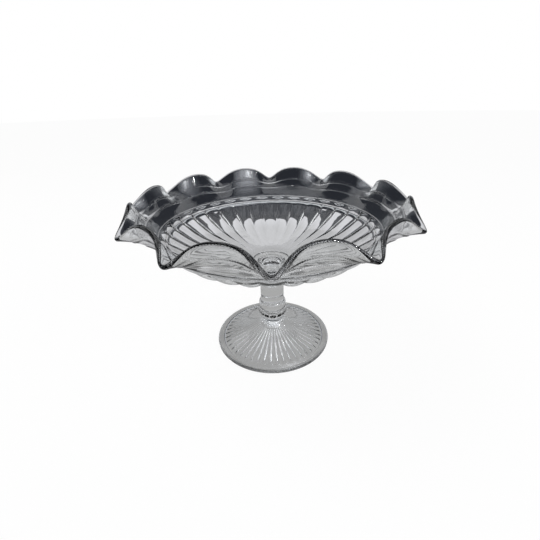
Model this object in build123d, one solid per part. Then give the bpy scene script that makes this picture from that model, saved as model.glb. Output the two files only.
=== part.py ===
from build123d import *
import math
import os

os.makedirs("parts", exist_ok=True)

# A footed compote bowl in clear pressed glass.  All sizes in millimetres.
# +Z is up, the foot rests on z = 0 and the axis of the stem is the Z axis.
# The front of the object, with a valley of the crimped rim facing it, is -Y.

# --- foot --------------------------------------------------------------------
FOOT_RADIUS = 50.0
FOOT_HEIGHT = 25.6            # resting ring to the seat of the lower collar
FOOT_NECK_RADIUS = 10.6
FOOT_BAND_WIDTH = 6.0         # plain rounded band outside the ribs
FOOT_BAND_HEIGHT = 4.8
FOOT_BAND_CROWN = 0.7         # how far the band swells over its chord
FOOT_BEVEL = 1.7              # slanted edge under the band
FOOT_REST_WIDTH = 3.6         # flat ring that the foot stands on
FOOT_COVE = ((0.084, 0.24), (0.28, 0.514), (0.61, 0.788))   # shares: out, down
HOLLOW_RADIUS = 8.0           # flat top of the hollow under the foot
HOLLOW_HEIGHT = 15.6
FOOT_RIBS = 48                # radial ribs pressed into the hollow
FOOT_RIB_DEPTH = 0.8
FOOT_RIB_STATIONS = ((0.916, 0.109, 1.0), (0.381, 0.487, 0.8))  # out, up, depth
CONES_IN_BAND = 3             # straight lengths of the profile, each turned into a cone
CONES_IN_COVE = 4

# --- lower collar, stem and upper collar -------------------------------------
COLLAR_RING_RADII = (12.4, 11.6)     # lower ring, upper ring
COLLAR_RING_HEIGHTS = (7.8, 6.6)
COLLAR_GROOVE = 1.3                  # how far a ring stands out of its grooves
COLLAR_SLANT = 1.35                  # height of the slant above and below a ring's edge
STEM_RADIUS = 9.9
STEM_LENGTH = 30.0
STEM_FLARE_LENGTH = 7.0              # cove that opens under the upper collar
STEM_TOP_RADIUS = 12.0
CONES_IN_FLARE = 2
UPPER_COLLAR_RADIUS = 16.0
UPPER_COLLAR_HEIGHT = 4.8
UPPER_COLLAR_ROUND = 1.1             # bulge of its edge
CONES_IN_EDGE = 3

# --- round well of the bowl ----------------------------------------------------
LEDGE_RADIUS = 84.4           # bead round the outside, where the crimped flange starts
LEDGE_ABOVE_SEAT = 29.9
LEDGE_BEAD = 0.9              # how far the bead stands out, and half its height
WELL_TOP_IN = 2.9             # top of the well inside: in from the bead
WELL_TOP_UP = 2.5             # and up from it
FLOOR_GLASS = 5.8             # glass under the middle of the bowl
FLOOR_RADIUS = 14.0           # flat middle of the floor
WALL_RADIUS = 71.0            # where the floor has turned up into the wall
WALL_SLOPE = 41.0             # degrees, inside
FLOOR_TURN = (0.65, 0.38)     # shares of the wall's radius and rise
CONES_IN_FLOOR = 2            # in the floor; the wall over it has one for each of its arcs
CONES_IN_BEAD = 2
UNDER_SLOPE = 43.0            # degrees, crests of the flutes below their arches
UNDER_START = 0.22            # share of the rise that starts at the seat
FLUTES = 32
FLUTE_FACETS = 4
FLUTE_DEPTH = 1.9
ARCH_GAP = 0.8                # flat between the arched ends and the bead
ARCH_DEPTH = 1.8              # rounding of a flute's arched end, seen from below
FLUTE_STATIONS = ((0.94, 0.9), (0.85, 1.0), (0.62, 0.6))        # shares: out, depth

# --- crimped flange --------------------------------------------------------------
CRIMPS = 12
CRIMP_FACETS = 16             # flat columns round one crimp
RIM_RADIUS = 102.7            # mean radius of the rim line
RIM_ABOVE_LEDGE = 21.9        # mean rise of the rim line
CRIMP_SWING = 5.35            # valleys swing out, peaks swing in
CRIMP_RISE = 6.05             # peaks rise, valleys drop
SWING_SHARPEN = 0.85          # second wave: narrow valleys, broad peaks
RISE_SHARPEN = 0.64
CRIMP_LEAN = 1.83             # degrees that the walls lean in over the valleys
FLANGE_GLASS = 3.6
FLANGE_LEDGE = 0.4            # flat at the root of the flange, inside and outside
RIM_TURNS = (0, 60, 120, 180)  # lines round the fire-polished edge

# --- seats, from the foot up -------------------------------------------------------
COLLAR_SEAT = FOOT_HEIGHT
STEM_SEAT = COLLAR_SEAT + sum(COLLAR_RING_HEIGHTS)
UPPER_SEAT = STEM_SEAT + STEM_LENGTH
BOWL_SEAT = UPPER_SEAT + UPPER_COLLAR_HEIGHT
BOWL_SEAT_RADIUS = UPPER_COLLAR_RADIUS - UPPER_COLLAR_ROUND
LEDGE_Z = BOWL_SEAT + LEDGE_ABOVE_SEAT
WELL_TOP = (LEDGE_RADIUS - WELL_TOP_IN, LEDGE_Z + WELL_TOP_UP)
BEAD_LOW, BEAD_HIGH = (LEDGE_RADIUS, LEDGE_Z - LEDGE_BEAD), (LEDGE_RADIUS, LEDGE_Z + LEDGE_BEAD)
ROOT_IN = (WELL_TOP[0] + FLANGE_LEDGE, WELL_TOP[1])
ROOT_OUT = (BEAD_HIGH[0] + FLANGE_LEDGE, BEAD_HIGH[1])


def on_front(r, z):
    """A point of a profile, drawn in the half plane that faces the front."""
    return Vector(0, -r, z)


def heading(degrees):
    return on_front(math.cos(math.radians(degrees)), math.sin(math.radians(degrees)))


def around(r, angle, z):
    """Cylinder coordinates, with the angle counted from the front."""
    return Vector(r * math.sin(angle), -r * math.cos(angle), z)


def line(a, b):
    return Edge.make_line(on_front(*a), on_front(*b))


def arc(a, middle, b):
    return Edge.make_three_point_arc(on_front(*a), on_front(*middle), on_front(*b))


def in_lengths(curve, count):
    """A curve of a profile in count straight lengths, each of which turns into a cone."""
    corners = [curve @ (i / count) for i in range(count + 1)]
    return [Edge.make_line(a, b) for a, b in zip(corners, corners[1:])]


def skin(edges):
    """Open skin of a profile turned round the axis."""
    return Shell.revolve(Wire(edges), 360, Axis.Z).faces()


def turned(edges, low, high):
    """Profile turned round the axis, closed by flat faces at low and at high."""
    start, end = edges[0] @ 0, edges[-1] @ 1
    closing = [Edge.make_line(on_front(0, low), start), Edge.make_line(end, on_front(0, high)),
               line((0, high), (0, low))]
    return Solid.revolve(Face(Wire(edges + closing)), 360, Axis.Z)


def circle_at(r, z):
    return Wire([Edge.make_circle(r, Plane(origin=(0, 0, z), x_dir=(0, -1, 0), z_dir=(0, 0, 1)))])


def ring(count, place):
    """Corners of a closed line round the axis; place gives the point at each turn."""
    return [place(2 * math.pi * i / count) for i in range(count)]


def closed(corners):
    return Wire.make_polygon(corners, close=True)


def facets(rings):
    """Flat triangles between neighbouring rings, cut along the shorter diagonals."""
    faces = []
    for low, high in zip(rings, rings[1:]):
        for i in range(len(low)):
            a, b, c, d = low[i - 1], low[i], high[i], high[i - 1]
            cuts = ((a, b, c), (a, c, d)) if (c - a).length < (d - b).length else ((a, b, d), (b, c, d))
            faces += [Face(closed(cut)) for cut in cuts]
    return faces


# --- foot: a turned dome over a hollow whose roof is ribbed ----------------------------
def rib_ring(r, ridge_z, groove_z):
    steps = 2 * FOOT_RIBS
    return [around(r, 2 * math.pi * i / steps, groove_z if i % 2 else ridge_z) for i in range(steps)]


def make_foot():
    band_r = FOOT_RADIUS - FOOT_BAND_WIDTH
    neck, band = (FOOT_NECK_RADIUS, FOOT_HEIGHT), (band_r, FOOT_BAND_HEIGHT)
    rest, edge = (FOOT_RADIUS - FOOT_BEVEL, 0), (FOOT_RADIUS, FOOT_BEVEL)
    crown = ((band_r + FOOT_RADIUS) / 2 + FOOT_BAND_CROWN,
             (FOOT_BAND_HEIGHT + FOOT_BEVEL) / 2 + FOOT_BAND_CROWN)
    cove = [neck] + [(neck[0] + out * (band_r - neck[0]), neck[1] - down * (neck[1] - band[1]))
                     for out, down in FOOT_COVE] + [band]
    cove = Edge.make_spline([on_front(*p) for p in reversed(cove)])
    dome = skin([line(rest, edge)] + in_lengths(arc(edge, crown, band), CONES_IN_BAND)
                + in_lengths(cove, CONES_IN_COVE))
    rest_in = FOOT_RADIUS - FOOT_BEVEL - FOOT_REST_WIDTH
    rings = [rib_ring(rest_in, 0, 0)]
    for out, up, depth in FOOT_RIB_STATIONS:
        z = up * HOLLOW_HEIGHT
        r = HOLLOW_RADIUS + out * (rest_in - HOLLOW_RADIUS)
        rings.append(rib_ring(r, z, z + FOOT_RIB_DEPTH * depth))
    rings.append(rib_ring(HOLLOW_RADIUS, HOLLOW_HEIGHT, HOLLOW_HEIGHT))
    flats = [Face(circle_at(*rest), [closed(rings[0])]), Face(closed(rings[-1])),
             Face(circle_at(*neck))]
    return Solid(Shell(dome + facets(rings) + flats))


# --- lower collar, stem, upper collar: turned, each seated on the one below -----------
def ring_edge(low, r, high):
    """Profile of a soft ring: a slant out of each groove and an upright edge between."""
    below, above = (r, low[1] + COLLAR_SLANT), (r, high[1] - COLLAR_SLANT)
    return [line(low, below), line(below, above), line(above, high)]


def make_stem_collar():
    low_r, high_r = COLLAR_RING_RADII
    groove = (high_r - COLLAR_GROOVE, COLLAR_SEAT + COLLAR_RING_HEIGHTS[0])
    low, high = (low_r - COLLAR_GROOVE, COLLAR_SEAT), (STEM_RADIUS, STEM_SEAT)
    return turned(ring_edge(low, low_r, groove) + ring_edge(groove, high_r, high),
                  COLLAR_SEAT, STEM_SEAT)


def make_stem():
    flare_z = UPPER_SEAT - STEM_FLARE_LENGTH
    flare = Edge.make_tangent_arc(on_front(STEM_RADIUS, flare_z), heading(90),
                                  on_front(STEM_TOP_RADIUS, UPPER_SEAT))
    shaft = line((STEM_RADIUS, STEM_SEAT), (STEM_RADIUS, flare_z))
    return turned([shaft] + in_lengths(flare, CONES_IN_FLARE), STEM_SEAT, UPPER_SEAT)


def make_upper_collar():
    middle = (UPPER_COLLAR_RADIUS, (UPPER_SEAT + BOWL_SEAT) / 2)
    edge = arc((BOWL_SEAT_RADIUS, UPPER_SEAT), middle, (BOWL_SEAT_RADIUS, BOWL_SEAT))
    return turned(in_lengths(edge, CONES_IN_EDGE), UPPER_SEAT, BOWL_SEAT)


# --- bowl: turned well, crimped flange, fluted underside, sewn into one skin -----------
def well_skin():
    """Inside of the well: a flat floor and three arcs that run into each other."""
    floor_z = BOWL_SEAT + FLOOR_GLASS
    rise = (WELL_TOP[0] - WALL_RADIUS) * math.tan(math.radians(WALL_SLOPE))
    wall = (WALL_RADIUS, WELL_TOP[1] - rise)
    turn = (WALL_RADIUS * FLOOR_TURN[0], floor_z + (wall[1] - floor_z) * FLOOR_TURN[1])
    lengths, here, way = [], on_front(FLOOR_RADIUS, floor_z), heading(0)
    for there, cones in ((turn, CONES_IN_FLOOR), (wall, 1), (WELL_TOP, 1)):
        curve = Edge.make_tangent_arc(here, way, on_front(*there))
        here, way = curve @ 1, curve % 1
        lengths += in_lengths(curve, cones)
    return skin(lengths) + [Face(circle_at(FLOOR_RADIUS, floor_z))]


def bead_skin():
    crown = (LEDGE_RADIUS + LEDGE_BEAD, LEDGE_Z)
    return skin(in_lengths(arc(BEAD_LOW, crown, BEAD_HIGH), CONES_IN_BEAD))


def fluted_rings():
    """Lines round the underside, from the arched ends of the flutes down to the seat."""
    arch_r, arch_z = LEDGE_RADIUS - ARCH_GAP, BEAD_LOW[1]
    rise = math.tan(math.radians(UNDER_SLOPE))
    wall_z = arch_z - (arch_r - WALL_RADIUS) * rise

    def fluted(r, z, inward, upward):
        """Ring whose flutes bulge from the grooves, which lie in and up from (r, z)."""
        def place(turn):
            across = (turn * FLUTES / math.pi + 1) % 2 - 1
            return around(r - inward * across ** 2, turn, z + upward * across ** 2)
        return ring(FLUTES * FLUTE_FACETS, place)

    rings = [fluted(arch_r, arch_z, ARCH_DEPTH, 0)]
    for share, depth in FLUTE_STATIONS:
        r = LEDGE_RADIUS * share
        out = (r - BOWL_SEAT_RADIUS) / (WALL_RADIUS - BOWL_SEAT_RADIUS)
        bend = UNDER_START * out + (1 - UNDER_START) * out * out
        z = wall_z + (r - WALL_RADIUS) * rise
        if r < WALL_RADIUS:
            z = BOWL_SEAT + (wall_z - BOWL_SEAT) * bend
        rings.append(fluted(r, z, 0, FLUTE_DEPTH * depth))
    return rings + [fluted(BOWL_SEAT_RADIUS, BOWL_SEAT, 0, 0)]


def rim_point(turn):
    """Middle of the rounded rim; turn 0 is the valley in front."""
    first, second = math.cos(CRIMPS * turn), math.cos(2 * CRIMPS * turn)
    return around(RIM_RADIUS + CRIMP_SWING * first + SWING_SHARPEN * second,
                  turn - math.radians(CRIMP_LEAN) * math.sin(CRIMPS * turn),
                  LEDGE_Z + RIM_ABOVE_LEDGE - CRIMP_RISE * first - RISE_SHARPEN * second)


def rim_ring(degrees):
    """Line along the rim: 0 degrees on its inside, 90 on its crown, 180 on its outside."""
    a, step = math.radians(degrees), 1e-4

    def place(turn):
        middle, along = rim_point(turn), rim_point(turn + step) - rim_point(turn - step)
        root = (around(ROOT_IN[0], turn, ROOT_IN[1]) + around(ROOT_OUT[0], turn, ROOT_OUT[1])) * 0.5
        inside = (middle - root).cross(along).normalized()
        outward = along.cross(inside).normalized()
        return middle + (inside * math.cos(a) + outward * math.sin(a)) * (FLANGE_GLASS / 2)
    return ring(CRIMPS * CRIMP_FACETS, place)


def flange_rings():
    """Lines from the bead up the inside, over the rim and down the outside."""
    inner, outer = (ring(CRIMPS * CRIMP_FACETS, lambda turn: around(r, turn, z))
                    for r, z in (ROOT_IN, ROOT_OUT))
    return [inner] + [rim_ring(degrees) for degrees in RIM_TURNS] + [outer]


def make_bowl():
    flange, flutes = flange_rings(), fluted_rings()
    flats = [Face(closed(flange[0]), [circle_at(*WELL_TOP)]),
             Face(closed(flange[-1]), [circle_at(*BEAD_HIGH)]),
             Face(circle_at(*BEAD_LOW), [closed(flutes[0])]), Face(closed(flutes[-1]))]
    return Solid(Shell(well_skin() + bead_skin() + facets(flange) + facets(flutes) + flats))


PIECES = {"foot": make_foot, "stem_collar": make_stem_collar, "stem": make_stem,
          "upper_collar": make_upper_collar, "bowl": make_bowl}
for name, make in PIECES.items():
    piece = make()
    print(name, "valid" if piece.is_valid else "NOT VALID", round(piece.volume / 1000, 1), "cm3")
    export_step(piece, f"parts/{name}.step")
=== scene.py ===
import math

import bpy
import numpy as np
from mathutils import Matrix, Vector


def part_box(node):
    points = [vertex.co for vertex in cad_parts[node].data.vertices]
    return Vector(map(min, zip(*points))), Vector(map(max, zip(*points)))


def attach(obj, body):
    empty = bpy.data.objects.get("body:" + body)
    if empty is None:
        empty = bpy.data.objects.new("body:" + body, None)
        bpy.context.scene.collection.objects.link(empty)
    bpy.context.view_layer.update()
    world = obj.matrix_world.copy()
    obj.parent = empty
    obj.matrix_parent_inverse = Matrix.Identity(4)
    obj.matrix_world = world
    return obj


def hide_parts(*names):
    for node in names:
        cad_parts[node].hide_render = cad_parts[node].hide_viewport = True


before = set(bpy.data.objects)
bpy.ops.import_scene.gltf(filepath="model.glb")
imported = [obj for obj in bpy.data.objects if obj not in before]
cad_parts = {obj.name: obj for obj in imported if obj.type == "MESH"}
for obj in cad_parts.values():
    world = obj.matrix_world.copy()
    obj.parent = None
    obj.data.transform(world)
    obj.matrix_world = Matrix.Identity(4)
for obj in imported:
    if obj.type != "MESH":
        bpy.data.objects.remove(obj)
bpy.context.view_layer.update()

# ---------------------------------------------------------------------------
# Foot.  A pressed dome of clear glass with a plain rounded band round it and
# 48 ribs on the inside of its hollow.  It was pressed in one mould with the
# stem and stands on a narrow flat ring, which is rubbed dull by use.
# ---------------------------------------------------------------------------
COLUMNS = 576                # round the foot and the bowl: 12 a rib, 18 a flute, 48 a crimp
foot_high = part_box("foot")[1]
FOOT_RADIUS = foot_high.x * 1000      # every size from here to the studio is in millimetres
FOOT_TOP = foot_high.z * 1000
FOOT_NECK = 10.6
FOOT_COVE = ((FOOT_NECK, FOOT_TOP), (11.6, 23.2), (13.4, 20.6), (16.2, 17.7), (20.0, 14.9),
             (25.0, 11.9), (31.0, 9.2), (37.5, 6.9), (FOOT_RADIUS - 6.0, 5.0))
BAND_TOP = ((47.6, 4.65), (46.2, 4.98))
BAND_REACH, BAND_RISE = 2.2, 2.15     # half the width and half the height of the rounded band
FOOT_REST = ((44.9, 0.05), (45.3, 0.0), (46.6, 0.0), (47.9, 0.0))
FOOT_HOLLOW = ((44.7, 0.25), (43.4, 1.0), (41.8, 1.9), (36.0, 3.6), (29.0, 5.6), (22.0, 8.0),
               (14.0, 11.9), (9.0, 14.7), (3.0, 16.1))
FOOT_RIBS = 48
RIB_DEPTH = 1.15
RIB_ROUNDNESS = 0.75                  # lower is flatter on top and sharper in the groove
RIB_OUTER_END, RIB_OUTER_FADE = 43.2, 2.2
RIB_INNER_END, RIB_INNER_FADE = 4, 12


def glass(name, ripple, wear=0.0):
    """Clear fire-polished glass: slow ripples, fine pitting, and a dull worn ring low on a foot."""
    m = bpy.data.materials.new(name)
    m.use_nodes = True
    nodes, links = m.node_tree.nodes, m.node_tree.links
    shader = nodes["Principled BSDF"]
    shader.inputs["Transmission Weight"].default_value = 1.0
    shader.inputs["IOR"].default_value = 1.52
    place = nodes.new("ShaderNodeTexCoord")
    tint = nodes.new("ShaderNodeTexNoise")
    tint.inputs["Scale"].default_value = 14.0
    tint.inputs["Detail"].default_value = 3.0
    tones = nodes.new("ShaderNodeValToRGB")
    tones.color_ramp.elements[0].color = (0.955, 0.968, 0.962, 1)
    tones.color_ramp.elements[1].color = (0.992, 0.994, 0.990, 1)
    links.new(place.outputs["Object"], tint.inputs["Vector"])
    links.new(tint.outputs["Fac"], tones.inputs["Fac"])
    links.new(tones.outputs["Color"], shader.inputs["Base Color"])
    pits = nodes.new("ShaderNodeTexNoise")
    pits.inputs["Scale"].default_value = 240.0
    pits.inputs["Detail"].default_value = 5.0
    dull = nodes.new("ShaderNodeMapRange")
    dull.inputs["From Min"].default_value = 0.45
    dull.inputs["From Max"].default_value = 0.85
    dull.inputs["To Min"].default_value = 0.0
    dull.inputs["To Max"].default_value = 0.05
    links.new(place.outputs["Object"], pits.inputs["Vector"])
    links.new(pits.outputs["Fac"], dull.inputs["Value"])
    rough = dull.outputs["Result"]
    if wear:
        height = nodes.new("ShaderNodeSeparateXYZ")
        low = nodes.new("ShaderNodeMapRange")
        low.inputs["From Min"].default_value = 0.0006
        low.inputs["From Max"].default_value = 0.0001
        low.inputs["To Max"].default_value = wear
        both = nodes.new("ShaderNodeMath")
        both.operation = "ADD"
        links.new(place.outputs["Object"], height.inputs["Vector"])
        links.new(height.outputs["Z"], low.inputs["Value"])
        links.new(rough, both.inputs[0])
        links.new(low.outputs["Result"], both.inputs[1])
        rough = both.outputs["Value"]
    links.new(rough, shader.inputs["Roughness"])
    waves = nodes.new("ShaderNodeTexNoise")
    waves.inputs["Scale"].default_value = 85.0
    waves.inputs["Detail"].default_value = 1.5
    bump = nodes.new("ShaderNodeBump")
    bump.inputs["Strength"].default_value = ripple
    bump.inputs["Distance"].default_value = 0.0006
    links.new(place.outputs["Object"], waves.inputs["Vector"])
    links.new(waves.outputs["Fac"], bump.inputs["Height"])
    links.new(bump.outputs["Normal"], shader.inputs["Normal"])
    return m


def join_material():
    """Face where two hot pieces were pressed together: the glass runs through it unbroken."""
    m = bpy.data.materials.new("fused_joint")
    m.use_nodes = True
    nodes, links = m.node_tree.nodes, m.node_tree.links
    nodes.remove(nodes["Principled BSDF"])
    clear = nodes.new("ShaderNodeBsdfTransparent")
    links.new(clear.outputs["BSDF"], nodes["Material Output"].inputs["Surface"])
    return m


FUSED = join_material()


def turns(columns=COLUMNS):
    """Even turns from the front, once round the axis."""
    return np.arange(columns) * 2 * np.pi / columns


def ring(r, z, turn=None):
    """Points round the axis, in millimetres; r, z and the turn from the front may vary round it."""
    if turn is None:
        turn = turns()
    r, z = np.broadcast_to(r, turn.shape), np.broadcast_to(z, turn.shape)
    return np.stack([r * np.sin(turn), -r * np.cos(turn), z], 1)


def blown(name, rings, finish, joints=(), sharp=60):
    """Closed skin through rings of points, from the pole below to the pole on top.

    Neighbouring rings may differ in their number of points by a whole factor.  joints are the
    numbers of the bands that lie against a neighbour and are fused to it."""
    rings = [np.atleast_2d(np.asarray(r, float)) for r in rings]
    starts = np.cumsum([0] + [len(r) for r in rings])
    faces, slots = [], []
    for band, (a, b) in enumerate(zip(rings, rings[1:])):
        small = min(len(a), len(b))
        if small == 1:
            n = max(len(a), len(b))
            i = np.arange(n)
            if len(a) == 1:
                rows = np.stack([np.full(n, starts[band]), starts[band + 1] + (i + 1) % n,
                                 starts[band + 1] + i], 1)
            else:
                rows = np.stack([starts[band] + i, starts[band] + (i + 1) % n,
                                 np.full(n, starts[band + 1])], 1)
        else:
            i = np.arange(small)
            ka, kb = len(a) // small, len(b) // small
            near = [starts[band] + (i * ka + k) % len(a) for k in range(ka + 1)]
            far = [starts[band + 1] + (i * kb + k) % len(b) for k in range(kb, -1, -1)]
            rows = np.stack(near + far, 1)
        faces += rows.tolist()
        slots += [1 if band in joints else 0] * len(rows)
    mesh = bpy.data.meshes.new(name)
    mesh.from_pydata((np.concatenate(rings) / 1000).tolist(), [], faces)
    mesh.materials.append(finish)
    mesh.materials.append(FUSED)
    mesh.polygons.foreach_set("material_index", slots)
    mesh.shade_smooth()
    mesh.set_sharp_from_angle(angle=math.radians(sharp))
    mesh.update()
    piece = bpy.data.objects.new(name, mesh)
    bpy.context.scene.collection.objects.link(piece)
    return piece


def curve_through(points, rows):
    """A smooth profile through given points, spaced evenly along its length."""
    p = np.array(points, float)
    ends = np.vstack([2 * p[0] - p[1], p, 2 * p[-1] - p[-2]])
    path = []
    for a, b, c, d in zip(ends, ends[1:], ends[2:], ends[3:]):
        u = np.linspace(0, 1, 24, endpoint=False)[:, None]
        path.append(0.5 * (2 * b + (c - a) * u + (2 * a - 5 * b + 4 * c - d) * u ** 2
                           + (3 * b - a - 3 * c + d) * u ** 3))
    path = np.vstack(path + [p[-1:]])
    along = np.concatenate([[0], np.cumsum(np.linalg.norm(np.diff(path, axis=0), axis=1))])
    at = np.linspace(0, along[-1], rows)
    return [(np.interp(s, along, path[:, 0]), np.interp(s, along, path[:, 1])) for s in at]


def across_each(count):
    """Place across each of count even ribs: 0 on its crest, -1 and 1 in the grooves beside it."""
    return (turns() * count / (2 * np.pi) + 0.5) % 1 * 2 - 1


def make_foot():
    """Rings from the middle of the hollow, over its ribs, round the band and up to the neck."""
    crest = (1 - across_each(FOOT_RIBS) ** 2) ** RIB_ROUNDNESS
    rings = [(0, 0, FOOT_HOLLOW[-1][1])]
    for r, z in curve_through(FOOT_HOLLOW[::-1], 34):
        fade = (np.clip((RIB_OUTER_END - r) / RIB_OUTER_FADE, 0, 1)
                * np.clip((r - RIB_INNER_END) / RIB_INNER_FADE, 0, 1))
        rings.append(ring(r, z + RIB_DEPTH * fade * (1 - crest)))
    rings += [ring(r, z) for r, z in FOOT_REST]
    for a in np.radians([-70, -45, -20, 5, 30, 55, 75]):
        rings.append(ring(FOOT_RADIUS - BAND_REACH + BAND_REACH * math.cos(a),
                          BAND_REACH + BAND_RISE * math.sin(a)))
    rings += [ring(r, z) for r, z in curve_through((*BAND_TOP, *FOOT_COVE[::-1]), 44)]
    rings.append(ring(FOOT_NECK * 0.5, FOOT_TOP))
    rings.append((0, 0, FOOT_TOP))
    return blown("foot_glass", rings, glass("foot_glass", 0.35, wear=0.3),
                 joints=(len(rings) - 3, len(rings) - 2))


foot = make_foot()
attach(foot, "root")
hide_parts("foot")

# ---------------------------------------------------------------------------
# Lower collar, stem and upper collar.  Round solid glass, pressed and reheated
# until the edges ran soft; each is fused hot to the piece under it.
# ---------------------------------------------------------------------------
stem_turn = turns(192)
STEM_GLASS = glass("stem_glass", 0.3)
COLLAR_LOW_RADIUS, COLLAR_TOP_RADIUS = 12.4, 11.6
COLLAR_LOW_HEIGHT = 7.8
COLLAR_ROOT = 0.5                     # how far the lower ring's root stands out over the neck
COLLAR_GROOVE = 1.3                   # depth of the groove between the two rings
STEM_RADIUS = 9.9
FLARE_HEIGHT = 7
UPPER_EDGE = 1.1                      # how far the disc under the bowl stands out past its faces


def turned(name, profile, finish, low, high, seat_low, seat_high):
    """Solid of revolution; the seats are the radii fused to the pieces below and above."""
    rings = [(0, 0, low)]
    for r in sorted({seat_low * 0.5, seat_low, profile[0][0]}):
        rings.append(ring(r, low, stem_turn))
    fused = [0, 1]
    rings += [ring(r, z, stem_turn) for r, z in profile[1:-1]]
    inward = sorted({profile[-1][0], seat_high, seat_high * 0.5}, reverse=True)
    rings += [ring(r, high, stem_turn) for r in inward]
    rings.append((0, 0, high))
    fused += [len(rings) - 2, len(rings) - 3]
    return blown(name, rings, finish, joints=fused)


def soft_ring(r, foot_r, top_r, low, high, rows=14):
    """Half-round bulge from foot_r at low to top_r at high."""
    bulge = []
    for a in np.linspace(-math.pi / 2, math.pi / 2, rows):
        side = foot_r if a < 0 else top_r
        bulge.append((side + (r - side) * math.cos(a),
                      (low + high) / 2 + (high - low) / 2 * math.sin(a)))
    return bulge


collar_low, collar_high = (1000 * corner.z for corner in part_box("stem_collar"))
groove_z = collar_low + COLLAR_LOW_HEIGHT
groove_r = COLLAR_TOP_RADIUS - COLLAR_GROOVE
stem_collar = turned(
    "stem_collar_glass",
    soft_ring(COLLAR_LOW_RADIUS, FOOT_NECK + COLLAR_ROOT, groove_r, collar_low, groove_z)
    + soft_ring(COLLAR_TOP_RADIUS, groove_r, STEM_RADIUS, groove_z, collar_high)[1:],
    STEM_GLASS, collar_low, collar_high, FOOT_NECK, STEM_RADIUS)

stem_low, stem_high = (1000 * corner.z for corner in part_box("stem"))
STEM_TOP_RADIUS = 1000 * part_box("stem")[1].x
flare = [(STEM_RADIUS + (STEM_TOP_RADIUS - STEM_RADIUS) * (1 - math.cos(a)),
          stem_high - FLARE_HEIGHT + FLARE_HEIGHT * math.sin(a))
         for a in np.linspace(0, math.pi / 2, 12)]
shaft = [(STEM_RADIUS, z) for z in np.linspace(stem_low, stem_high - FLARE_HEIGHT, 14)]
stem = turned("stem_glass", shaft + flare[1:], STEM_GLASS,
              stem_low, stem_high, STEM_RADIUS, STEM_TOP_RADIUS)

upper_low, upper_high = (1000 * corner.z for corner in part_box("upper_collar"))
UPPER_RADIUS = 1000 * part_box("upper_collar")[1].x
SEAT_RADIUS = UPPER_RADIUS - UPPER_EDGE
upper_collar = turned("upper_collar_glass",
                      soft_ring(UPPER_RADIUS, SEAT_RADIUS, SEAT_RADIUS, upper_low, upper_high),
                      STEM_GLASS, upper_low, upper_high, STEM_TOP_RADIUS, SEAT_RADIUS)
for piece, node in ((stem_collar, "stem_collar"), (stem, "stem"), (upper_collar, "upper_collar")):
    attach(piece, "root")
    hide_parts(node)

# ---------------------------------------------------------------------------
# Bowl.  Pressed glass: a round well with 32 flutes under it, a bead and a small
# inner ledge round its mouth, and a flange that was crimped into 12 ruffles
# while hot.  The bead and two cords round the outside of the flange are milled.
# ---------------------------------------------------------------------------
SEAT_Z = 1000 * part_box("bowl")[0].z
BEAD_RADIUS, BEAD_Z, BEAD_HALF = 85.4, SEAT_Z + 31.9, 0.55
BEAD_MILLING = 0.45                   # share of the bead's stand that the notches take
# Points are radius and height over the seat: the well outwards, the ledge inwards.
WELL = ((0.0, 5.8), (14.0, 5.9), (24.0, 7.4), (36.0, 9.9), (46.0, 12.2), (54.0, 14.2),
        (60.0, 16.2), (66.0, 19.2), (71.0, 22.8), (75.5, 26.3), (77.8, 28.3))
LEDGE = ((80.6, 31.3), (79.5, 30.2), (79.2, 30.0), (78.7, 30.05), (78.2, 29.9), (77.8, 29.5),
         (77.6, 28.9))
FLUTES = 32
CRESTS = ((14.9, 0.0), (24.0, 0.97), (34.0, 2.95), (45.0, 6.2), (58.0, 11.3), (66.0, 15.0),
          (71.0, 17.8), (76.0, 21.6), (82.0, 27.2))
CREST_RUN_OUT = 0.95                  # slope of the crests past their last point
GROOVE_DEPTH = ((14.9, 0.0), (22.0, 0.05), (30.0, 0.25), (45.0, 0.8), (58.0, 1.5), (71.0, 2.2),
                (82.0, 2.2))
SHOULDER = ((82.0, 29.6), (84.0, 30.6), (85.4, 31.0))
ARCH_CENTRE = 77.0                    # radius from which the flutes end in round arches
FLUTE_ROUNDNESS = 0.95
CRIMPS = 12
RIM_RADIUS, RIM_RISE = 102.4, 19.9
CRIMP_SWING, CRIMP_RISE = 5.0, 6.05
SWING_SHARPEN, RISE_SHARPEN = 0.85, 0.64      # second wave, which narrows the valleys
CRIMP_LEAN = math.radians(1.83)       # how far the walls lean in over the valleys
CRIMP_GROWTH = 1.9                    # power by which the crimp grows from bead to rim
ROOT_IN, ROOT_OUT = (83.0, BEAD_Z + 2.6), (85.7, BEAD_Z + 0.8)
ROOT_BLEND = 0.2                      # share of the flange over which its root turns into it
HALF_GLASS = (1.68, 1.38)             # half the thickness of the flange, at root and rim
FLANGE_LENGTH = 26.0
# Rings of the flange as shares of the way from bead to rim: up its outside, then, for each
# cord, its middle and how far past it the next rings lie, and down the inside.
OUTSIDE_STEPS = (0.0, 0.06, 0.12, 0.18, 0.24, 0.30)
CORDS = ((0.40, (0.08, 0.13, 0.18)), (0.67, (0.08, 0.13, 0.18, 0.23, 0.28)))
INSIDE_STEPS = (0.95, 0.88, 0.80, 0.72, 0.63, 0.54, 0.45, 0.36, 0.27, 0.19, 0.12, 0.06, 0.02)
CORD_HEIGHT, CORD_HALF_WIDTH = 0.42, 1.45
CORD_FOOT = 1.25                      # where its edges lie, in half widths from its middle
CORD_NOTCHES = 480
CORD_MILLING = 0.7                    # share of a cord's height that the notches take
CORD_SLANT = 1.1                      # how far the notches lean across a cord, in radians
MILLED_COLUMNS = 4 * COLUMNS


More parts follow.
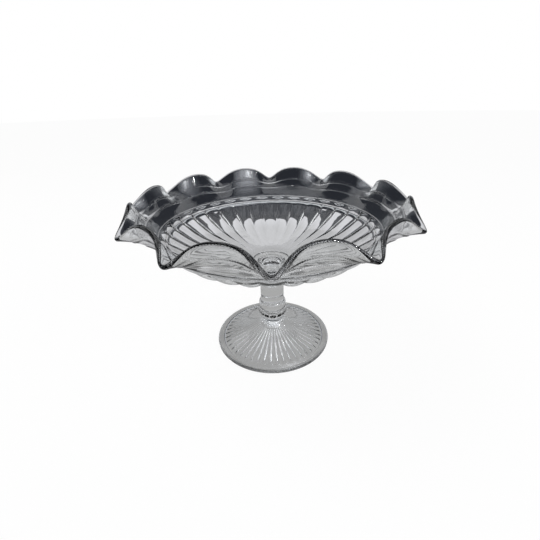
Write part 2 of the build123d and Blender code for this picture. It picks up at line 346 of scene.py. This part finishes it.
def flange_middle(turn, out):
    """Middle of the flange's glass at out 0 (bead) to 1 (rim), as points."""
    first, second = np.cos(CRIMPS * turn), np.cos(2 * CRIMPS * turn)
    grown = max(out, 0.0) ** CRIMP_GROWTH
    root_r, root_z = (np.array(ROOT_IN) + np.array(ROOT_OUT)) / 2
    r = root_r + (RIM_RADIUS - root_r) * out + (CRIMP_SWING * first + SWING_SHARPEN * second) * grown
    z = (root_z + (BEAD_Z + RIM_RISE - root_z) * out
         - (CRIMP_RISE * first + RISE_SHARPEN * second) * grown)
    return ring(r, z, turn - CRIMP_LEAN * np.sin(CRIMPS * turn) * grown)


def unit(ways):
    """Each way as a vector of length 1."""
    return ways / np.linalg.norm(ways, axis=1)[:, None]


def flange_frame(turn, out):
    """Middle of the glass, the way out of its inner face and the way on towards the rim."""
    along = unit(flange_middle(turn + 1e-4, out) - flange_middle(turn - 1e-4, out))
    climb = flange_middle(turn, out + 1e-3) - flange_middle(turn, out - 1e-3)
    inside = unit(np.cross(climb, along))
    return flange_middle(turn, out), inside, unit(np.cross(along, inside))


def flange_ring(out, side, extra=0.0, columns=COLUMNS):
    """Ring on the flange: side 1 inside, -1 outside; extra stands over the face."""
    turn = turns(columns)
    middle, inside, _ = flange_frame(turn, out)
    root = ring(ROOT_IN[0] - ROOT_OUT[0], ROOT_IN[1] - ROOT_OUT[1], turn)
    mix = min(out / ROOT_BLEND, 1.0)
    mix = mix * mix * (3 - 2 * mix)
    half = HALF_GLASS[0] + (HALF_GLASS[1] - HALF_GLASS[0]) * out
    inside = unit(unit(root) * (1 - mix) + inside * mix)
    return middle + inside * np.broadcast_to(side * (half + extra), turn.shape)[:, None]


def rim_ring(angle):
    """Ring on the round edge: -90 degrees outside, 0 the crown, 90 inside."""
    middle, inside, crown = flange_frame(turns(), 1.0)
    a = math.radians(angle)
    return middle + (inside * math.sin(a) + crown * math.cos(a)) * HALF_GLASS[1]


def notches(slant=0.0):
    """0 in each milled notch and 1 between two, round the axis."""
    return 0.5 + 0.5 * np.cos(CORD_NOTCHES * turns(MILLED_COLUMNS) + slant)


def cord_rings(out):
    """One milled cord: a half-round bead on the outside, cut by slanting notches."""
    reach = CORD_HALF_WIDTH / FLANGE_LENGTH
    rings = [flange_ring(out - CORD_FOOT * reach, -1)]
    for across in (-0.9, -0.5, 0.0, 0.5, 0.9):
        height = (CORD_HEIGHT * math.cos(math.pi / 2 * across) ** 2
                  * (1 - CORD_MILLING + CORD_MILLING * notches(CORD_SLANT * across)))
        rings.append(flange_ring(out + across * reach, -1, height, MILLED_COLUMNS))
    rings.append(flange_ring(out + CORD_FOOT * reach, -1))
    return rings


def underside_rings():
    """Flutes that hang as lobes from the seat to their arched ends under the bead."""
    across = across_each(FLUTES)
    crest_r, crest_z = zip(*curve_through(CRESTS, 200))
    shoulder_r, shoulder_z = zip(*curve_through(SHOULDER, 60))
    groove_r, groove_d = zip(*GROOVE_DEPTH)
    rings = []
    for r in np.concatenate([np.linspace(SEAT_RADIUS, 76, 22), np.linspace(77.0, 85.0, 13)]):
        crest = np.interp(r, crest_r, crest_z)
        if r > CRESTS[-1][0]:
            crest += (r - CRESTS[-1][0]) * CREST_RUN_OUT
        depth = np.interp(r, groove_r, groove_d)
        level = crest + depth if r <= SHOULDER[0][0] else np.interp(r, shoulder_r, shoulder_z)
        reach = np.abs(across)
        if r > ARCH_CENTRE:
            sideways = across * math.pi * r / FLUTES
            reach = np.clip(np.hypot(sideways, r - ARCH_CENTRE) * FLUTES / (math.pi * r), 0, 1)
        swell = (1 - reach ** 2) ** FLUTE_ROUNDNESS
        rings.append(ring(r, SEAT_Z + np.maximum(level - (level - crest) * swell, crest)))
    return rings


def bead_rings():
    """Half-round milled bead under the root of the flange."""
    rings = [ring(BEAD_RADIUS, BEAD_Z - BEAD_HALF)]
    for a in np.radians([-65, -25, 15, 60]):
        stand = BEAD_HALF * (1 - BEAD_MILLING * notches() * math.cos(a))
        rings.append(ring(BEAD_RADIUS + stand * math.cos(a), BEAD_Z + stand * math.sin(a),
                          turns(MILLED_COLUMNS)))
    rings.append(ring(BEAD_RADIUS, BEAD_Z + BEAD_HALF))
    return rings


def make_bowl():
    """Rings from the seat, out along the flutes, up the flange, over the rim and down the well."""
    rings = [(0, 0, SEAT_Z), ring(SEAT_RADIUS * 0.5, SEAT_Z)]
    rings += underside_rings() + bead_rings()
    rings += [flange_ring(out, -1) for out in OUTSIDE_STEPS]
    for out, steps in CORDS:
        rings += cord_rings(out)
        rings += [flange_ring(out + step, -1) for step in steps]
    rings += [rim_ring(a) for a in (-90, -60, -30, 0, 30, 60, 90)]
    rings += [flange_ring(out, 1) for out in INSIDE_STEPS]
    rings += [ring(r, SEAT_Z + z) for r, z in LEDGE]
    rings += [ring(r, SEAT_Z + z) for r, z in curve_through(WELL[::-1], 30)[:-1]]
    rings.append((0, 0, SEAT_Z + WELL[0][1]))
    return blown("bowl_glass", rings, glass("bowl_glass", 0.3), joints=(0, 1), sharp=75)


bowl = make_bowl()
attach(bowl, "root")
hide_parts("bowl")

# ---------------------------------------------------------------------------
# Studio: a plain pale floor under soft lamps.  Only the glass sees the cards,
# which glow though they are no lamps: a table card whose grey darkens under the
# bowl as a painted shadow, a dark tent with a low pale band and a pale top that
# glows as painted overhead light, a soft glow to the right of the front that is
# a painted reflection of a window with a painted highlight in its middle, and a
# pale card behind.  From here sizes are in metres.
# ---------------------------------------------------------------------------
FLOOR_RADII = (0.0001, 0.5, 6.0)
FLOOR_WHITE_SHARE = 0.95              # the rest of what the camera sees keeps the shadow
TABLE_RADIUS = 0.30
TABLE_DROP = 0.001
TENT_RADIUS = 1.3
DARK = (0.07, 0.073, 0.08)
BACK_PALE = (0.85, 0.86, 0.88)
LATE_FILL = (0.72, 0.72, 0.74)
LATE_FROM, LATE_TO = 3.5, 6.0         # bounces over which a card turns to its fill colour
GLOW_TURN, GLOW_HEIGHT = math.radians(38), math.radians(42)
GLOW_DISTANCE, GLOW_REACH = 0.9, 0.80
BACK_DISTANCE = 1.2
BACK_CORNERS = ((122, 28), (238, 28), (238, 66), (122, 66))     # turn and height in degrees


def only_glass_sees(card):
    """Hides a card from the camera, from matt surfaces and from shadow rays."""
    card.visible_camera = False
    card.visible_diffuse = False
    card.visible_shadow = False


def staged(name, verts, faces, finish):
    """Mesh of the studio, which is no part of the object."""
    mesh = bpy.data.meshes.new(name)
    mesh.from_pydata(verts, [], faces)
    mesh.materials.append(finish)
    card = bpy.data.objects.new(name, mesh)
    bpy.context.scene.collection.objects.link(card)
    return card


def card_of_rings(name, profile, finish, columns=96):
    """Open card turned round the axis, from (radius, height) pairs."""
    verts, faces = [], []
    for r, z in profile:
        verts += [(r * math.sin(t), -r * math.cos(t), z)
                  for t in (2 * math.pi * i / columns for i in range(columns))]
    for k in range(len(profile) - 1):
        for i in range(columns):
            j = (i + 1) % columns
            faces.append((k * columns + i, k * columns + j,
                          (k + 1) * columns + j, (k + 1) * columns + i))
    card = staged(name, verts, faces, finish)
    card.data.shade_smooth()
    return card


def flat_card(name, corners, finish):
    """Flat card through its corners."""
    return staged(name, corners, [list(range(len(corners)))], finish)


def lit_card(name, measure, stops, fill=None):
    """Material that glows by a measure of its place, given as (measure, colour) stops.

    Light that has been thrown about inside the glass gathers the whole pale room, so with a
    fill colour the card turns to it for rays past their fourth bounce."""
    m = bpy.data.materials.new(name)
    m.use_nodes = True
    nodes, links = m.node_tree.nodes, m.node_tree.links
    nodes.remove(nodes["Principled BSDF"])
    place = nodes.new("ShaderNodeTexCoord")
    value = measure(nodes, links, place.outputs["Object"])
    ramp = nodes.new("ShaderNodeValToRGB")
    ramp.color_ramp.interpolation = "EASE"
    points = ramp.color_ramp.elements
    while len(points) < len(stops):
        points.new(0.5)
    for point, (at, colour) in zip(points, stops):
        point.position = at
        point.color = (*colour, 1)
    glow = nodes.new("ShaderNodeEmission")
    links.new(value, ramp.inputs["Fac"])
    colour = ramp.outputs["Color"]
    if fill:
        late = nodes.new("ShaderNodeMapRange")
        late.inputs["From Min"].default_value = LATE_FROM
        late.inputs["From Max"].default_value = LATE_TO
        blend = nodes.new("ShaderNodeMix")
        blend.data_type = "RGBA"
        blend.inputs["B"].default_value = (*fill, 1)
        links.new(nodes.new("ShaderNodeLightPath").outputs["Ray Depth"], late.inputs["Value"])
        links.new(late.outputs["Result"], blend.inputs["Factor"])
        links.new(colour, blend.inputs["A"])
        colour = blend.outputs["Result"]
    links.new(colour, glow.inputs["Color"])
    links.new(glow.outputs["Emission"], nodes["Material Output"].inputs["Surface"])
    return m


def from_the_axis(nodes, links, place):
    """Measure: distance from the object's axis."""
    flat = nodes.new("ShaderNodeVectorMath")
    flat.operation = "MULTIPLY"
    flat.inputs[1].default_value = (1, 1, 0)
    length = nodes.new("ShaderNodeVectorMath")
    length.operation = "LENGTH"
    links.new(place, flat.inputs[0])
    links.new(flat.outputs["Vector"], length.inputs[0])
    return length.outputs["Value"]


def height_share(nodes, links, place):
    """Measure: sine of the height over the table, 0 level and 1 overhead."""
    way = nodes.new("ShaderNodeVectorMath")
    way.operation = "NORMALIZE"
    split = nodes.new("ShaderNodeSeparateXYZ")
    links.new(place, way.inputs[0])
    links.new(way.outputs["Vector"], split.inputs["Vector"])
    return split.outputs["Z"]


def from_the_glow(nodes, links, place):
    """Measure: distance from the middle of the glow."""
    apart = nodes.new("ShaderNodeVectorMath")
    apart.operation = "DISTANCE"
    apart.inputs[1].default_value = glow_place
    links.new(place, apart.inputs[0])
    return apart.outputs["Value"]


def towards(turn, height):
    """Way from the object, by its turn off the front and its height over the level."""
    return Vector((math.cos(height) * math.sin(turn), -math.cos(height) * math.cos(turn),
                   math.sin(height)))


def seen_rays(nodes, links):
    """1 for rays that the camera sees directly, in a reflection or through glass."""
    path = nodes.new("ShaderNodeLightPath")
    total = path.outputs["Is Camera Ray"]
    for kind in ("Is Glossy Ray", "Is Transmission Ray"):
        both = nodes.new("ShaderNodeMath")
        both.operation = "ADD"
        links.new(total, both.inputs[0])
        links.new(path.outputs[kind], both.inputs[1])
        total = both.outputs["Value"]
    return total


def white_to_the_eye(name):
    """Floor that is white to the camera but keeps a soft share of the object's shadow."""
    m = bpy.data.materials.new(name)
    m.use_nodes = True
    nodes, links = m.node_tree.nodes, m.node_tree.links
    shader = nodes["Principled BSDF"]
    shader.inputs["Base Color"].default_value = (0.8, 0.8, 0.8, 1)
    shader.inputs["Roughness"].default_value = 0.9
    glow = nodes.new("ShaderNodeEmission")
    share = nodes.new("ShaderNodeMath")
    share.operation = "MULTIPLY"
    share.inputs[1].default_value = FLOOR_WHITE_SHARE
    mix = nodes.new("ShaderNodeMixShader")
    links.new(seen_rays(nodes, links), share.inputs[0])
    links.new(share.outputs["Value"], mix.inputs["Fac"])
    links.new(shader.outputs["BSDF"], mix.inputs[1])
    links.new(glow.outputs["Emission"], mix.inputs[2])
    links.new(mix.outputs["Shader"], nodes["Material Output"].inputs["Surface"])
    return m


floor = card_of_rings("floor", [(r, 0.0) for r in FLOOR_RADII], white_to_the_eye("floor_white"))
floor.visible_transmission = False
floor.visible_glossy = False

# The table card glows instead of being lit: its grey darkens towards the axis as a painted shadow of
# the bowl and is paler further out.
table_card = card_of_rings(
    "table_card", [(FLOOR_RADII[0], -TABLE_DROP), (TABLE_RADIUS, -TABLE_DROP)],
    lit_card("table_glow_painted_shadow", from_the_axis, (
        (0.03, (0.33, 0.33, 0.33)), (0.08, (0.40, 0.40, 0.40)),
        (0.15, (0.50, 0.50, 0.51)), (0.28, (0.66, 0.66, 0.69))), fill=LATE_FILL))
# The tent glows and only the glass sees it: near black at and below the level, a low pale band, dark
# higher up, and a pale top that is a painted reflection of light from overhead.
tent = card_of_rings(
    "tent", [(TENT_RADIUS * math.cos(a), TENT_RADIUS * math.sin(a))
             for a in np.radians(np.linspace(-35, 89.9, 32))],
    lit_card("tent_dark", height_share, (
        (0.00, (0.016, 0.018, 0.024)), (0.05, (0.55, 0.57, 0.60)), (0.26, (0.45, 0.47, 0.50)),
        (0.38, DARK), (0.84, DARK), (0.93, (1.05, 1.07, 1.12))), fill=LATE_FILL))
glow_place = GLOW_DISTANCE * towards(GLOW_TURN, GLOW_HEIGHT)
glow_side = Vector((math.cos(GLOW_TURN), math.sin(GLOW_TURN), 0))
glow_up = glow_side.cross(glow_place.normalized())
# The window card is no lamp: its soft glow, seen only by the glass, is a painted reflection of a
# window, and its very bright middle a painted highlight.
window_card = flat_card(
    "window_card",
    [tuple(glow_place + GLOW_REACH * (math.cos(a) * glow_side + math.sin(a) * glow_up))
     for a in (math.radians(10 * i) for i in range(36))],
    lit_card("window_glow_painted_reflection", from_the_glow, (
        (0.0, (9.0, 9.2, 9.6)), (0.13, (3.4, 3.5, 3.7)), (0.32, (1.7, 1.75, 1.9)),
        (0.55, (0.75, 0.78, 0.84)), (GLOW_REACH, DARK))))
back_card = flat_card(
    "back_card", [tuple(BACK_DISTANCE * towards(math.radians(turn), math.radians(height)))
                  for turn, height in BACK_CORNERS],
    lit_card("back_pale", from_the_axis, ((0.0, BACK_PALE), (1.0, BACK_PALE))))
for card in (table_card, tent, window_card, back_card):
    only_glass_sees(card)

world = bpy.data.worlds.new("studio")
bpy.context.scene.world = world
world.use_nodes = True
sky_nodes, sky_links = world.node_tree.nodes, world.node_tree.links
sky = sky_nodes["Background"]
sky.inputs["Color"].default_value = (1, 1, 1, 1)
level = sky_nodes.new("ShaderNodeMapRange")
level.inputs["To Min"].default_value = 0.55
level.inputs["To Max"].default_value = 1.0
sky_links.new(seen_rays(sky_nodes, sky_links), level.inputs["Value"])
sky_links.new(level.outputs["Result"], sky.inputs["Strength"])


def lamp(name, turn, height, distance, size, watts):
    """Square soft lamp that looks at the bowl from a turn off the front and a height, in degrees."""
    data = bpy.data.lights.new(name, "AREA")
    data.shape = "SQUARE"
    data.size = size
    data.energy = watts
    light = bpy.data.objects.new(name, data)
    aim = Vector((0, 0, 0.1))
    light.location = aim + distance * towards(math.radians(turn), math.radians(height))
    light.rotation_euler = (aim - light.location).to_track_quat("-Z", "Y").to_euler()
    bpy.context.scene.collection.objects.link(light)
    return light


lamp("lamp_right", turn=50, height=33, distance=0.85, size=0.068, watts=1.16)
lamp("lamp_far_right", turn=78, height=30, distance=1.0, size=0.07, watts=1.0)
lamp("lamp_behind", turn=175, height=48, distance=1.0, size=0.025, watts=0.12)
soft_left = lamp("softbox_left", turn=-95, height=62, distance=1.1, size=0.5, watts=6)
soft_left.visible_glossy = False
soft_left.visible_transmission = False

# ---------------------------------------------------------------------------
# Camera at the photograph's viewing angle: close, looking down over the front
# rim with a touch of roll.  Focal length and shifts are in photograph pixels.
# ---------------------------------------------------------------------------
EYE = (0.0, -0.2376, 0.1925)
PITCH_DOWN, ROLL = math.radians(27.58), math.radians(-1.41)
PHOTO_PIXELS = 540
FOCAL_PIXELS = 321.8
SHIFT_PIXELS = (-1.6, -0.9)
SENSOR_WIDTH = 36.0

camera_data = bpy.data.cameras.new("camera")
camera_data.sensor_width = SENSOR_WIDTH
camera_data.lens = SENSOR_WIDTH * FOCAL_PIXELS / PHOTO_PIXELS
camera_data.shift_x = SHIFT_PIXELS[0] / PHOTO_PIXELS
camera_data.shift_y = SHIFT_PIXELS[1] / PHOTO_PIXELS
camera_data.clip_start = 0.005
camera = bpy.data.objects.new("camera", camera_data)
camera.location = EYE
camera.rotation_euler = (Matrix.Rotation(math.pi / 2 - PITCH_DOWN, 3, "X")
                         @ Matrix.Rotation(ROLL, 3, "Z")).to_euler()
bpy.context.scene.collection.objects.link(camera)
bpy.context.scene.camera = camera
bpy.context.scene.view_settings.view_transform = "Standard"
bpy.context.scene.cycles.max_bounces = 24               # rays cross many walls of glass
bpy.context.scene.cycles.transmission_bounces = 24
